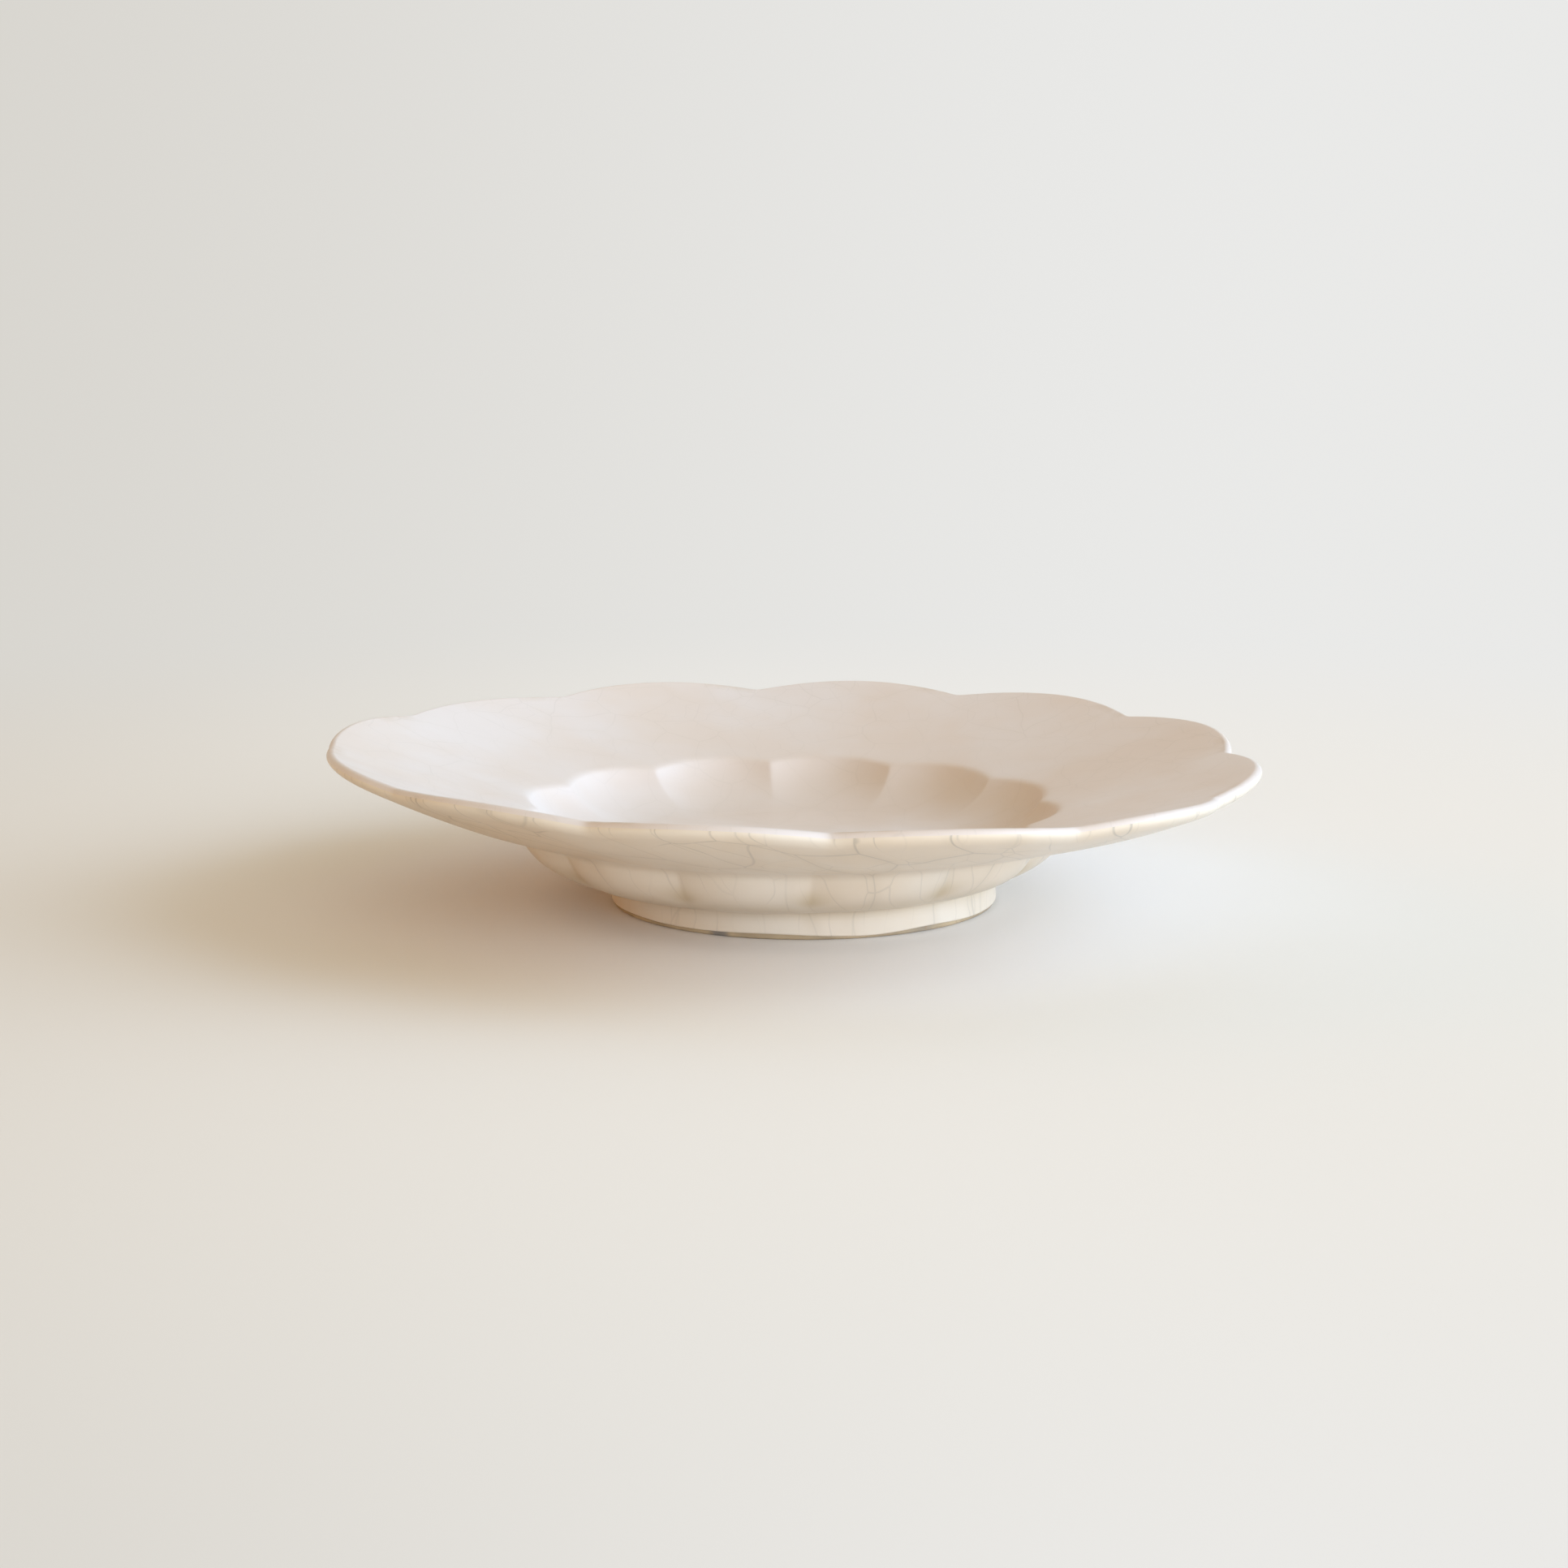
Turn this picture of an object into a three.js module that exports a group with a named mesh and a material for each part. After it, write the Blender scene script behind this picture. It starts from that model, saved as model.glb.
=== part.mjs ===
// A glazed stoneware plate with a scalloped lip, a fluted well and a luted foot ring.
// Millimetres, +Z up. The origin is under the middle of the lip, on the surface that the plate stands on.

import * as THREE from 'three';

// Lip and flange. Sizes are those of the fired clay, and the glaze adds its own thickness to them.
const SCALLOP_COUNT = 12;
const RIM_RADIUS = 104.6;
const FLANGE_RISE = 13.2;
const NOTCH_DEPTH = 4.3;
const NOTCH_SOFTNESS = 0.1;
const SCALLOP_FULLNESS = 0.85;
const LIP_THICKNESS = 1.7;
const FLANGE_SAG = 0.6;

// How much higher the lip stands on the -X side than in the middle, as the kiln left it
const RIM_LEAN = 2.4;

// Well, as it is seen from the face
const WELL_RADIUS = 60.5;
const WELL_DEPTH = 9.8;
const FLUTE_DEPTH = 3.4;
const FLOOR_RADIUS = 38;
const FLOOR_DISH = 0.8;
const EDGE_ROUNDING = 2;

// Thickness of the clay: under the floor, where the flange meets the well, and across the top of the well wall
const FLOOR_THICKNESS = 5.2;
const FLANGE_THICKNESS = 3.6;
const WALL_SPREAD = 1.7;

// Foot ring, set a little off centre where it was luted on to the base
const BASE_HEIGHT = 7.2;
const FOOT_RADIUS = 43.1;
const FOOT_WIDTH = 5;
const FOOT_OFFSET = 3;
const FOOT_EDGE_ROUNDING = 0.6;
const SLIP_THICKNESS = 0.5;
const SEAT_MARGIN = 0.6;

// Glaze coats
const GLAZE_THICKNESS = 0.4;
const BARE_EDGE_HEIGHT = 1.2;

// The well's walls are parts of ellipses. These are the angles where the parts begin and end.
const FACE_WALL_START = THREE.MathUtils.degToRad(0);
const FACE_WALL_END = THREE.MathUtils.degToRad(75);
const BACK_WALL_START = THREE.MathUtils.degToRad(12);
const BACK_WALL_END = THREE.MathUtils.degToRad(78);

// Mesh steps
const STEPS_PER_SCALLOP = 6;
const FLOOR_STEPS = 2;
const WALL_STEPS = 4;
const FLANGE_STEPS = 3;
const LIP_HALF_STEPS = 2;

// Sizes that follow from the ones above
const ANGLE_STEPS = SCALLOP_COUNT * STEPS_PER_SCALLOP;
const FLOOR_HEIGHT = BASE_HEIGHT + FLOOR_THICKNESS;
const WELL_EDGE_HEIGHT = FLOOR_HEIGHT + WELL_DEPTH;
const RIM_HEIGHT = WELL_EDGE_HEIGHT + FLANGE_RISE;
const LEDGE_RADIUS = WELL_RADIUS + WALL_SPREAD;
const LEDGE_HEIGHT = WELL_EDGE_HEIGHT - FLANGE_THICKNESS;
const FOOT_INNER_RADIUS = FOOT_RADIUS - FOOT_WIDTH;
const FOOT_TOP = BASE_HEIGHT - SLIP_THICKNESS;
const FOOT_COAT_RADIUS = FOOT_RADIUS + GLAZE_THICKNESS;
const SEAT_RADIUS = FOOT_COAT_RADIUS + Math.abs(FOOT_OFFSET) + SEAT_MARGIN;
const LIP_RADIUS = LIP_THICKNESS / 2;

// One point of a profile: radius, height and how far its ring lies off centre along X
const point = (r, z, offset = 0) => ({ r, z, offset });

// 1 at the middle of each scallop and 0 at each notch, with the notch's point softened
function scallop(angle) {
  const wave = Math.sin((SCALLOP_COUNT * angle) / 2);
  const softened = Math.hypot(wave, NOTCH_SOFTNESS) - NOTCH_SOFTNESS;
  const highest = Math.hypot(1, NOTCH_SOFTNESS) - NOTCH_SOFTNESS;
  return (softened / highest) ** SCALLOP_FULLNESS;
}

// Height on a sloping side of the flange that sags a little between its two ends
function slopeHeight(r, inner, outer) {
  const share = (r - inner.r) / (outer.r - inner.r);
  return THREE.MathUtils.lerp(inner.z, outer.z, share) - 4 * FLANGE_SAG * share * (1 - share);
}

const faceHeight = (r) =>
  slopeHeight(r, point(WELL_RADIUS, WELL_EDGE_HEIGHT), point(RIM_RADIUS, RIM_HEIGHT));
const backHeight = (r) =>
  slopeHeight(r, point(LEDGE_RADIUS, LEDGE_HEIGHT), point(RIM_RADIUS, RIM_HEIGHT - LIP_THICKNESS));

// A point on a well wall, which climbs along part of an ellipse from its bottom to its top
function wallPoint(bottom, top, start, end, share) {
  const turn = THREE.MathUtils.lerp(start, end, share);
  const outward = (Math.sin(turn) - Math.sin(start)) / (Math.sin(end) - Math.sin(start));
  const upward = (Math.cos(start) - Math.cos(turn)) / (Math.cos(start) - Math.cos(end));
  const r = THREE.MathUtils.lerp(bottom.r, top.r, outward);
  const z = THREE.MathUtils.lerp(bottom.z, top.z, upward);
  return point(r, z);
}

// The points of a wall between its bottom and the rounding at its top
function wallPoints(bottom, top, start, end) {
  const points = [];
  const rounding = EDGE_ROUNDING / (2 * Math.hypot(top.r - bottom.r, top.z - bottom.z));
  for (let step = 1; step < WALL_STEPS; step += 1) {
    points.push(wallPoint(bottom, top, start, end, step / WALL_STEPS));
  }
  points.push(wallPoint(bottom, top, start, end, 1 - rounding));
  return points;
}

// The points of the dished floor, from its edge to its middle
function floorPoints() {
  const points = [];
  for (let step = 0; step <= FLOOR_STEPS; step += 1) {
    const share = 1 - step / FLOOR_STEPS;
    points.push(point(FLOOR_RADIUS * share, FLOOR_HEIGHT - FLOOR_DISH * (1 - share ** 2)));
  }
  return points;
}

// The points of the flange's side from the rounding at the well out to the lip
function flangePoints(wellRadius, lipRadius, height) {
  const points = [];
  const start = wellRadius + EDGE_ROUNDING;
  for (let step = 0; step < FLANGE_STEPS; step += 1) {
    const r = THREE.MathUtils.lerp(start, lipRadius, step / FLANGE_STEPS);
    points.push(point(r, height(r)));
  }
  return points;
}

// The half round of the lip, from the back to the face
function lipPoints(rimRadius) {
  const points = [];
  const middleRadius = rimRadius - LIP_RADIUS;
  const middleHeight = (faceHeight(rimRadius) + backHeight(rimRadius)) / 2;
  for (let step = -LIP_HALF_STEPS; step <= LIP_HALF_STEPS; step += 1) {
    const turn = (Math.PI / 2) * (step / LIP_HALF_STEPS);
    const r = middleRadius + LIP_RADIUS * Math.cos(turn);
    points.push(point(r, middleHeight + LIP_RADIUS * Math.sin(turn)));
  }
  return points;
}

// The clay's profile at one angle, in two halves that meet at the outermost point of the lip
function clayProfile(angle) {
  const drawnIn = 1 - scallop(angle);
  const rimRadius = RIM_RADIUS - NOTCH_DEPTH * drawnIn;
  const wellRadius = WELL_RADIUS - FLUTE_DEPTH * drawnIn;
  const ledgeRadius = LEDGE_RADIUS - FLUTE_DEPTH * drawnIn;
  const lipStart = rimRadius - LIP_RADIUS;

  const seat = point(SEAT_RADIUS, BASE_HEIGHT);
  const ledge = point(ledgeRadius, backHeight(ledgeRadius));
  const wellEdge = point(wellRadius, faceHeight(wellRadius));
  const floor = floorPoints();
  const lip = lipPoints(rimRadius);

  const back = [
    point(FOOT_COAT_RADIUS, BASE_HEIGHT, FOOT_OFFSET),
    seat,
    ...wallPoints(seat, ledge, BACK_WALL_START, BACK_WALL_END),
    ...flangePoints(ledgeRadius, lipStart, backHeight),
    ...lip.slice(0, LIP_HALF_STEPS + 1),
  ];
  const face = [
    ...lip.slice(LIP_HALF_STEPS),
    ...flangePoints(wellRadius, lipStart, faceHeight).reverse(),
    ...wallPoints(floor[0], wellEdge, FACE_WALL_START, FACE_WALL_END).reverse(),
    ...floor,
  ];
  return { back, face };
}

// Both halves of the profile with the outside of the glaze over them, square to the clay
function coatedProfile(angle) {
  const { back, face } = clayProfile(angle);
  const clay = [...back, ...face.slice(1)];
  const coat = clay.map((here, index) => {
    const before = clay[Math.max(index - 1, 0)];
    const after = clay[Math.min(index + 1, clay.length - 1)];
    const alongR = index === clay.length - 1 ? -1 : after.r - before.r;
    const alongZ = index === 0 || index === clay.length - 1 ? 0 : after.z - before.z;
    const reach = GLAZE_THICKNESS / Math.hypot(alongR, alongZ);
    return point(here.r + alongZ * reach, here.z - alongR * reach, here.offset);
  });
  const lipMiddle = back.length - 1;
  return {
    clay,
    backClay: clay.slice(0, lipMiddle + 1),
    backCoat: coat.slice(0, lipMiddle + 1),
    faceClay: clay.slice(lipMiddle),
    faceCoat: coat.slice(lipMiddle),
  };
}

// Puts a profile point in space, with the lean of the lip fading out towards the foot
function place(profilePoint, angle) {
  const { r, z, offset } = profilePoint;
  const lean = THREE.MathUtils.smoothstep(r, SEAT_RADIUS, RIM_RADIUS) * RIM_LEAN;
  const height = z - (lean * r * Math.cos(angle)) / RIM_RADIUS;
  return [offset + r * Math.cos(angle), r * Math.sin(angle), height];
}

// A closed solid swept round the axis, whose profile may change with the angle.
// Each profile runs outwards along the bottom and back along the top, and closes on itself.
// A quad is split from its inner corner ahead to its outer corner here, so that coats that touch fit.
function sweepRound(profileAt) {
  const positions = [];
  const triangles = [];
  const count = profileAt(0).length;
  for (let step = 0; step < ANGLE_STEPS; step += 1) {
    const angle = (2 * Math.PI * step) / ANGLE_STEPS;
    const profile = profileAt(angle);
    const here = step * count;
    const ahead = ((step + 1) % ANGLE_STEPS) * count;
    profile.forEach((start, index) => {
      const after = (index + 1) % count;
      const end = profile[after];
      positions.push(...place(start, angle));
      if (start.r > 0) {
        triangles.push(here + index, ahead + index, start.r < end.r ? here + after : ahead + after);
      }
      if (end.r > 0) {
        triangles.push(ahead + after, here + after, start.r < end.r ? ahead + index : here + index);
      }
    });
  }
  const geometry = new THREE.BufferGeometry();
  geometry.setAttribute('position', new THREE.Float32BufferAttribute(positions, 3));
  geometry.setIndex(triangles);
  geometry.computeVertexNormals();
  return geometry;
}

// Clay body: flange and well, with a flat base for the foot
function plateBody() {
  return sweepRound((angle) => [point(0, BASE_HEIGHT, FOOT_OFFSET), ...coatedProfile(angle).clay]);
}

// Foot ring, with the edges that it stands on rounded
function footRing() {
  const profile = [
    point(FOOT_INNER_RADIUS, FOOT_EDGE_ROUNDING, FOOT_OFFSET),
    point(FOOT_INNER_RADIUS + FOOT_EDGE_ROUNDING, 0, FOOT_OFFSET),
    point(FOOT_RADIUS - FOOT_EDGE_ROUNDING, 0, FOOT_OFFSET),
    point(FOOT_RADIUS, FOOT_EDGE_ROUNDING, FOOT_OFFSET),
    point(FOOT_RADIUS, FOOT_TOP, FOOT_OFFSET),
    point(FOOT_INNER_RADIUS, FOOT_TOP, FOOT_OFFSET),
  ];
  return sweepRound(() => profile);
}

// Layer of slip between the foot ring and the base
function lutingSlip() {
  const profile = [
    point(FOOT_INNER_RADIUS, FOOT_TOP, FOOT_OFFSET),
    point(FOOT_RADIUS, FOOT_TOP, FOOT_OFFSET),
    point(FOOT_RADIUS, BASE_HEIGHT, FOOT_OFFSET),
    point(FOOT_INNER_RADIUS, BASE_HEIGHT, FOOT_OFFSET),
  ];
  return sweepRound(() => profile);
}

// Glaze on the eating side
function faceGlaze() {
  return sweepRound((angle) => {
    const { faceClay, faceCoat } = coatedProfile(angle);
    return [...faceClay.reverse(), ...faceCoat];
  });
}

// Glaze under the flange and the well
function backGlaze() {
  return sweepRound((angle) => {
    const { backClay, backCoat } = coatedProfile(angle);
    return [...backCoat, ...backClay.reverse()];
  });
}

// Glaze on the outside of the foot, with a rolled lower edge
function footGlaze() {
  const profile = [
    point(FOOT_RADIUS, BARE_EDGE_HEIGHT, FOOT_OFFSET),
    point(FOOT_COAT_RADIUS, BARE_EDGE_HEIGHT + GLAZE_THICKNESS, FOOT_OFFSET),
    point(FOOT_COAT_RADIUS, BASE_HEIGHT, FOOT_OFFSET),
    point(FOOT_RADIUS, BASE_HEIGHT, FOOT_OFFSET),
  ];
  return sweepRound(() => profile);
}

// Glaze on the base inside the foot and on the foot's inner wall
function baseGlaze() {
  const inner = FOOT_INNER_RADIUS - GLAZE_THICKNESS;
  const profile = [
    point(0, BASE_HEIGHT - GLAZE_THICKNESS, FOOT_OFFSET),
    point(inner, BASE_HEIGHT - GLAZE_THICKNESS, FOOT_OFFSET),
    point(inner, BARE_EDGE_HEIGHT + GLAZE_THICKNESS, FOOT_OFFSET),
    point(FOOT_INNER_RADIUS, BARE_EDGE_HEIGHT, FOOT_OFFSET),
    point(FOOT_INNER_RADIUS, BASE_HEIGHT, FOOT_OFFSET),
    point(0, BASE_HEIGHT, FOOT_OFFSET),
  ];
  return sweepRound(() => profile);
}

function piece(name, geometry, color, roughness) {
  const material = new THREE.MeshStandardMaterial({ color, roughness, metalness: 0 });
  const mesh = new THREE.Mesh(geometry, material);
  mesh.name = name;
  return mesh;
}

const plate = new THREE.Group();
plate.name = 'scalloped_plate';
plate.add(
  piece('plate_body', plateBody(), '#c9b08f', 0.85),
  piece('foot_ring', footRing(), '#8f7455', 0.9),
  piece('luting_slip', lutingSlip(), '#b89d7c', 0.9),
  piece('face_glaze', faceGlaze(), '#e8dccb', 0.18),
  piece('back_glaze', backGlaze(), '#e6d9c6', 0.2),
  piece('foot_glaze', footGlaze(), '#e4d6c2', 0.22),
  piece('base_glaze', baseGlaze(), '#e2d5c2', 0.25),
);

export default plate;
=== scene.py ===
"""A crackle-glazed plate with a scalloped lip, on a pale floor in soft light from the right."""

import math

import bmesh
import bpy
import numpy as np
from mathutils import Matrix, Vector, noise


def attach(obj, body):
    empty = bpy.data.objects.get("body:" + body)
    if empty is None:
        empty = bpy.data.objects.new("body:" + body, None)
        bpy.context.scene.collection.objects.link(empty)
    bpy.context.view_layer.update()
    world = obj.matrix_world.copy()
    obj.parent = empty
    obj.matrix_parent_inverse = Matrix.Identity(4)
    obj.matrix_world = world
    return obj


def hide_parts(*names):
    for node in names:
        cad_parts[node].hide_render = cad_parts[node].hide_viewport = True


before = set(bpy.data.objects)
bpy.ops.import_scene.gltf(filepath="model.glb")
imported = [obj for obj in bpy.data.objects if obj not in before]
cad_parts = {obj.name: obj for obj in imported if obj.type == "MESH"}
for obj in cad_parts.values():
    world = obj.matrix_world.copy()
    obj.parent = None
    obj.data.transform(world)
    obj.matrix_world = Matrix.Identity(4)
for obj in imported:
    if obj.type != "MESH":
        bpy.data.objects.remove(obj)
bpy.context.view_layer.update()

MM = 0.001

# Lip and flange of the fired clay, as in the solids, but for a lip that is a little thicker and rounded
# further back and a back that sags more
SCALLOP_COUNT = 12
RIM_RADIUS = 104.6 * MM
FLANGE_RISE = 13.2 * MM
NOTCH_DEPTH = 4.3 * MM
NOTCH_SOFTNESS = 0.1
SCALLOP_FULLNESS = 0.85
LIP_THICKNESS = 2 * MM
LIP_BACK_ROUNDING = 3 * MM
FLANGE_SAG = 0.6 * MM
BACK_SAG = 1.65 * MM
RIM_LEAN = 2.4 * MM

# How late on its way out the flange bends to meet the lip
LIP_BEND_POWER = 6

# What hand and kiln did to the lip: a warp, notches that rose, sank, moved or filled up, and flat scallops.
# Notches and scallops are counted from +X.
RIM_TWIST = 0.86 * MM
RIM_SADDLE = 0.65 * MM
NOTCH_LIFTS = {6: -1 * MM, 7: -1.15 * MM, 9: 1.25 * MM, 10: 0.65 * MM, 11: -0.35 * MM}
NOTCH_SHIFTS = {8: math.radians(1.25), 9: math.radians(-0.65)}
NOTCH_FILLS = {6: 0.75}
SCALLOP_FLATNESS = {4: 0.6, 5: 0.3, 6: 0.3}

# Well
WELL_RADIUS = 60.5 * MM
WELL_DEPTH = 9.8 * MM
FLUTE_DEPTH = 3.4 * MM
FLOOR_RADIUS = 38 * MM
FLOOR_DISH = 0.8 * MM
EDGE_ROUNDING = 2 * MM
BACK_ROUNDING = 4.5 * MM
FLOOR_THICKNESS = 5.2 * MM
FLANGE_THICKNESS = 3.6 * MM
WALL_SPREAD = 1.7 * MM
FACE_WALL_START = math.radians(0)
FACE_WALL_END = math.radians(75)
BACK_WALL_START = math.radians(12)
BACK_WALL_END = math.radians(78)

# Foot ring
BASE_HEIGHT = 7.2 * MM
FOOT_RADIUS = 43.1 * MM
FOOT_WIDTH = 5 * MM
FOOT_OFFSET = 3 * MM
FOOT_EDGE_ROUNDING = 0.6 * MM
SLIP_THICKNESS = 0.5 * MM
SEAT_MARGIN = 0.6 * MM

# Glaze, with the unevenness that a dipped and fired coat has. Its fillet round the foot takes up no more
# than a share of the base beside the foot.
GLAZE_THICKNESS = 0.4 * MM
BARE_EDGE_HEIGHT = 0.9 * MM
BARE_EDGE_WAVER = 0.5 * MM
GLAZE_FILLET = 2.4 * MM
FILLET_SHARE = 0.8
COAT_UNEVENNESS = 0.12 * MM
COAT_WAVE_LENGTH = 22 * MM
TURNING_RIPPLE = 0.05 * MM
TURNING_PITCH = 3.4 * MM

# Browner glaze on the back: glaze pooled in the grooves, and, less deep, painted shade round the foot where
# the wall turns under to meet it. Each sets in between the first two shares of the way from the base up to
# the flange, and fades out between the last two.
GROOVE_POOL = (0.05, 0.3, 0.3, 0.7)
# Painted shade round the foot, where the wall turns under to meet it
FOOT_SHADE = (-0.35, -0.05, 0.05, 0.5)
FOOT_SHADE_DEPTH = 0.5

# Painted shade on the lip, where the glaze is also worn duller: a stretch just past each notch, strongest at
# two notches in front. It sets in between the first two shares of a scallop and fades out between the last
# two.
WEAR_AND_SHADE_WIDTH = 0.7 * MM
WEAR_AND_SHADE_STRETCH = (0, 0.03, 0.2, 0.26)
WORN_AND_SHADED_NOTCHES = (8, 9)
OTHER_WEAR_AND_SHADE = 0.3

# Soot on the bare edge of the foot: the turn from +X and the half width of each mark in degrees, and its
# darkness, which is full over a share of the mark
SOOT_MARKS = [
    (240, 4, 0.8),
    (301, 7, 0.35),
]
SOOT_CORE = 0.3

# Mesh steps
STEPS_PER_SCALLOP = 32
NOTCH_CROWDING = 0.6
FLOOR_STEPS = 8
WALL_STEPS = 16
EDGE_STEPS = 6
FLANGE_STEPS = 16
LIP_HALF_STEPS = 12
FOOT_STEPS = 8
BASE_STEPS = 24
SHARP_ANGLE = math.radians(50)
AXIS_TOLERANCE = 0.001 * MM

# Sizes that follow from the ones above
FLOOR_HEIGHT = BASE_HEIGHT + FLOOR_THICKNESS
WELL_EDGE_HEIGHT = FLOOR_HEIGHT + WELL_DEPTH
RIM_HEIGHT = WELL_EDGE_HEIGHT + FLANGE_RISE
LEDGE_RADIUS = WELL_RADIUS + WALL_SPREAD
LEDGE_HEIGHT = WELL_EDGE_HEIGHT - FLANGE_THICKNESS
FOOT_INNER_RADIUS = FOOT_RADIUS - FOOT_WIDTH
FOOT_TOP = BASE_HEIGHT - SLIP_THICKNESS
FOOT_COAT_RADIUS = FOOT_RADIUS + GLAZE_THICKNESS
BASE_COAT_RADIUS = FOOT_INNER_RADIUS - GLAZE_THICKNESS
SEAT_RADIUS = FOOT_COAT_RADIUS + FOOT_OFFSET + SEAT_MARGIN
UNDERSIDE_HEIGHT = BASE_HEIGHT - GLAZE_THICKNESS
LIP_RADIUS = LIP_THICKNESS / 2
FACE_LIP_SLOPE = math.atan2(FLANGE_RISE + 4 * FLANGE_SAG, RIM_RADIUS - WELL_RADIUS)
BACK_RISE = RIM_HEIGHT - LIP_THICKNESS - LEDGE_HEIGHT
BACK_LIP_SLOPE = math.atan2(BACK_RISE + 4 * BACK_SAG, RIM_RADIUS - LEDGE_RADIUS)

# Camera, from a fit to the lip in the photograph. It turns about the middle of the lip's notches, and its
# focal length is a share of the picture's width.
NOTCH_PLANE_HEIGHT = 34.65 * MM
CAMERA_DISTANCE = 722.8 * MM
CAMERA_ELEVATION = math.radians(9.49)
CAMERA_TURN = math.radians(-4.93)
CAMERA_YAW = math.radians(-0.119)
CAMERA_PITCH = math.radians(0.657)
SENSOR_WIDTH = 36
FOCAL_SHARE = 3962 / 1932
NEAREST_VIEW = 10 * MM

# Light: two cool soft windows on the right, a low one in front, a warm one behind on the left, some sky and
# a faint one from below, through the opening in the floor, in a warm room.
# Each has its turn from +X, its elevation and its half width in degrees, and its colour in the middle.
WINDOWS = [
    (350, 13, 42, (2.9, 3.9, 5.2)),
    (15, 20, 45, (0.9, 1.25, 1.6)),
    (285, 6, 34, (4.1, 4.6, 5.4)),
    (150, 6, 34, (1.6, 0.5, 0.05)),
    (90, 30, 45, (0.45, 0.65, 0.95)),
    (0, -90, 80, (0.25, 0.3, 0.42)),
]
ROOM_COLOUR = (0.46, 0.34, 0.13)

# Share of that light which glossy surfaces mirror
GLARE = 0.4

# Floor, which fades into the backdrop's colours between two distances from the plate, and runs a little way
# under the foot. The floor's colour goes from left to right between two places along X, and the backdrop's
# over a spread of directions, both darker on the left as painted shade of light falling off from the right.
FLOOR_REACH = 9
FLOOR_SIDES = 96
FLOOR_UNDER_FOOT = 0.8 * MM
FLOOR_HOLE = FOOT_RADIUS - FLOOR_UNDER_FOOT
FADE_START = 0.17
FADE_END = 0.5
BACKDROP_SPREAD = 0.25
FLOOR_SPREAD = (-0.3, 0.05)
# The colours on the left are darker as painted shade
FLOOR_LEFT = (0.72, 0.665, 0.6)
FLOOR_RIGHT = (0.905, 0.885, 0.87)
BACKDROP_LEFT = (0.68, 0.658, 0.612)
BACKDROP_RIGHT = (0.82, 0.82, 0.808)
PAPER_ROUGHNESS = 0.85

# Colours of the glaze and the clay
FACE_COLOUR = (0.74, 0.67, 0.645)
BACK_COLOUR = (0.77, 0.685, 0.58)
WARM_SHARE = (0.97, 0.92, 0.86)
CRACK_COLOUR = (0.27, 0.23, 0.19)
STAIN_COLOUR = (0.60, 0.50, 0.38)
# Brown of the painted shade on the lip
LIP_SHADE_COLOUR = (0.50, 0.36, 0.21)
# Brown of pooled glaze, also used as painted shade round the foot
POOL_AND_SHADE_COLOUR = (0.52, 0.40, 0.24)
SPECK_COLOUR = (0.36, 0.25, 0.15)
CLAY_COLOUR = (0.44, 0.31, 0.18)
FOOT_COLOUR = (0.5, 0.38, 0.24)
SOOT_COLOUR = (0.17, 0.165, 0.16)

# Cracks in the glaze: two nets of cells, the stain along the long cracks, and for each net the size of the
# noise that bends it and how far it bends
LONG_CRACK_CELL = 13 * MM
LONG_CRACK_WIDTH = 0.3 * MM
LONG_CRACK_BENDS = (16 * MM, 7 * MM)
STAIN_WIDTH = 2.6 * MM
SHORT_CRACK_CELL = 6.5 * MM
SHORT_CRACK_WIDTH = 0.21 * MM
SHORT_CRACK_BENDS = (9 * MM, 4 * MM)

# How far the cracks on the back and the foot are drawn out and lean with the radius
CRACK_STRETCH = 0.5
CRACK_LEAN = 5

# How dark the cracks are, and the share of it that is left below the flange
FACE_CRACKS = 0.1
BACK_CRACKS = 0.55
BASE_CRACKS = 0.6
LOW_CRACK_SHARE = 0.45

# Patches in the glaze and the clay: their size, the two values of the noise between which they change, what
# they change from and to, and how fine the noise is
TONE_PATCHES = (38 * MM, 0.35, 0.65, 0.0, 1.0, 3.0)
STAIN_PATCHES = (26 * MM, 0.4, 0.65, 0.08, 0.55, 2.0)
LONG_CRACK_PATCHES = (30 * MM, 0.35, 0.6, 0.3, 1.0, 2.0)
SHORT_CRACK_PATCHES = (22 * MM, 0.42, 0.6, 0.1, 0.8, 2.0)
WEAR_AND_SHADE_PATCHES = (4 * MM, 0.3, 0.6, 0.2, 1.0, 3.0)
GLOSS_PATCHES = (12 * MM, 0.3, 0.7, 0.28, 0.34, 3.0)
CLAY_PATCHES = (9 * MM, 0.35, 0.65, 0.0, 1.0, 4.0)

# How far pooled glaze, painted shade round the foot and painted shade on the lip change the glaze's colour,
# and wear its roughness
POOL_AND_SHADE_STRENGTH = 0.75
LIP_SHADE_STRENGTH = 0.8
WEAR_ROUGHNESS = 0.3

# Bare clay: how dark its patches are, its roughness in dark and in pale ones, and its grains of sand, which
# are darkest over a share of their radius and lie only in cells with a high random number
DARK_CLAY_SHARE = 0.75
CLAY_ROUGHNESS = (0.75, 0.92)
GRAIN_CELL = 1.2 * MM
GRAIN_RADIUS = 0.45 * MM
GRAIN_CORE = 0.5
GRAIN_CHOICE = (0.6, 0.7)
GRAIN_STRENGTH = 0.5

# Fine bumps in the glaze, the clay and the paper of the floor: their size, how fine the noise is, their
# depth and their strength
PEEL = (2.5 * MM, 2.0, 0.03 * MM, 0.5)
GRIT = (0.7 * MM, 3.0, 0.1 * MM, 0.5)
PAPER_GRAIN = (1.5 * MM, 2.0, 0.03 * MM, 0.3)


def between(low, high, share):
    return low + (high - low) * share


def smoothstep(value, low, high):
    share = np.clip((value - low) / (high - low), 0, 1)
    return share * share * (3 - 2 * share)


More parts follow.
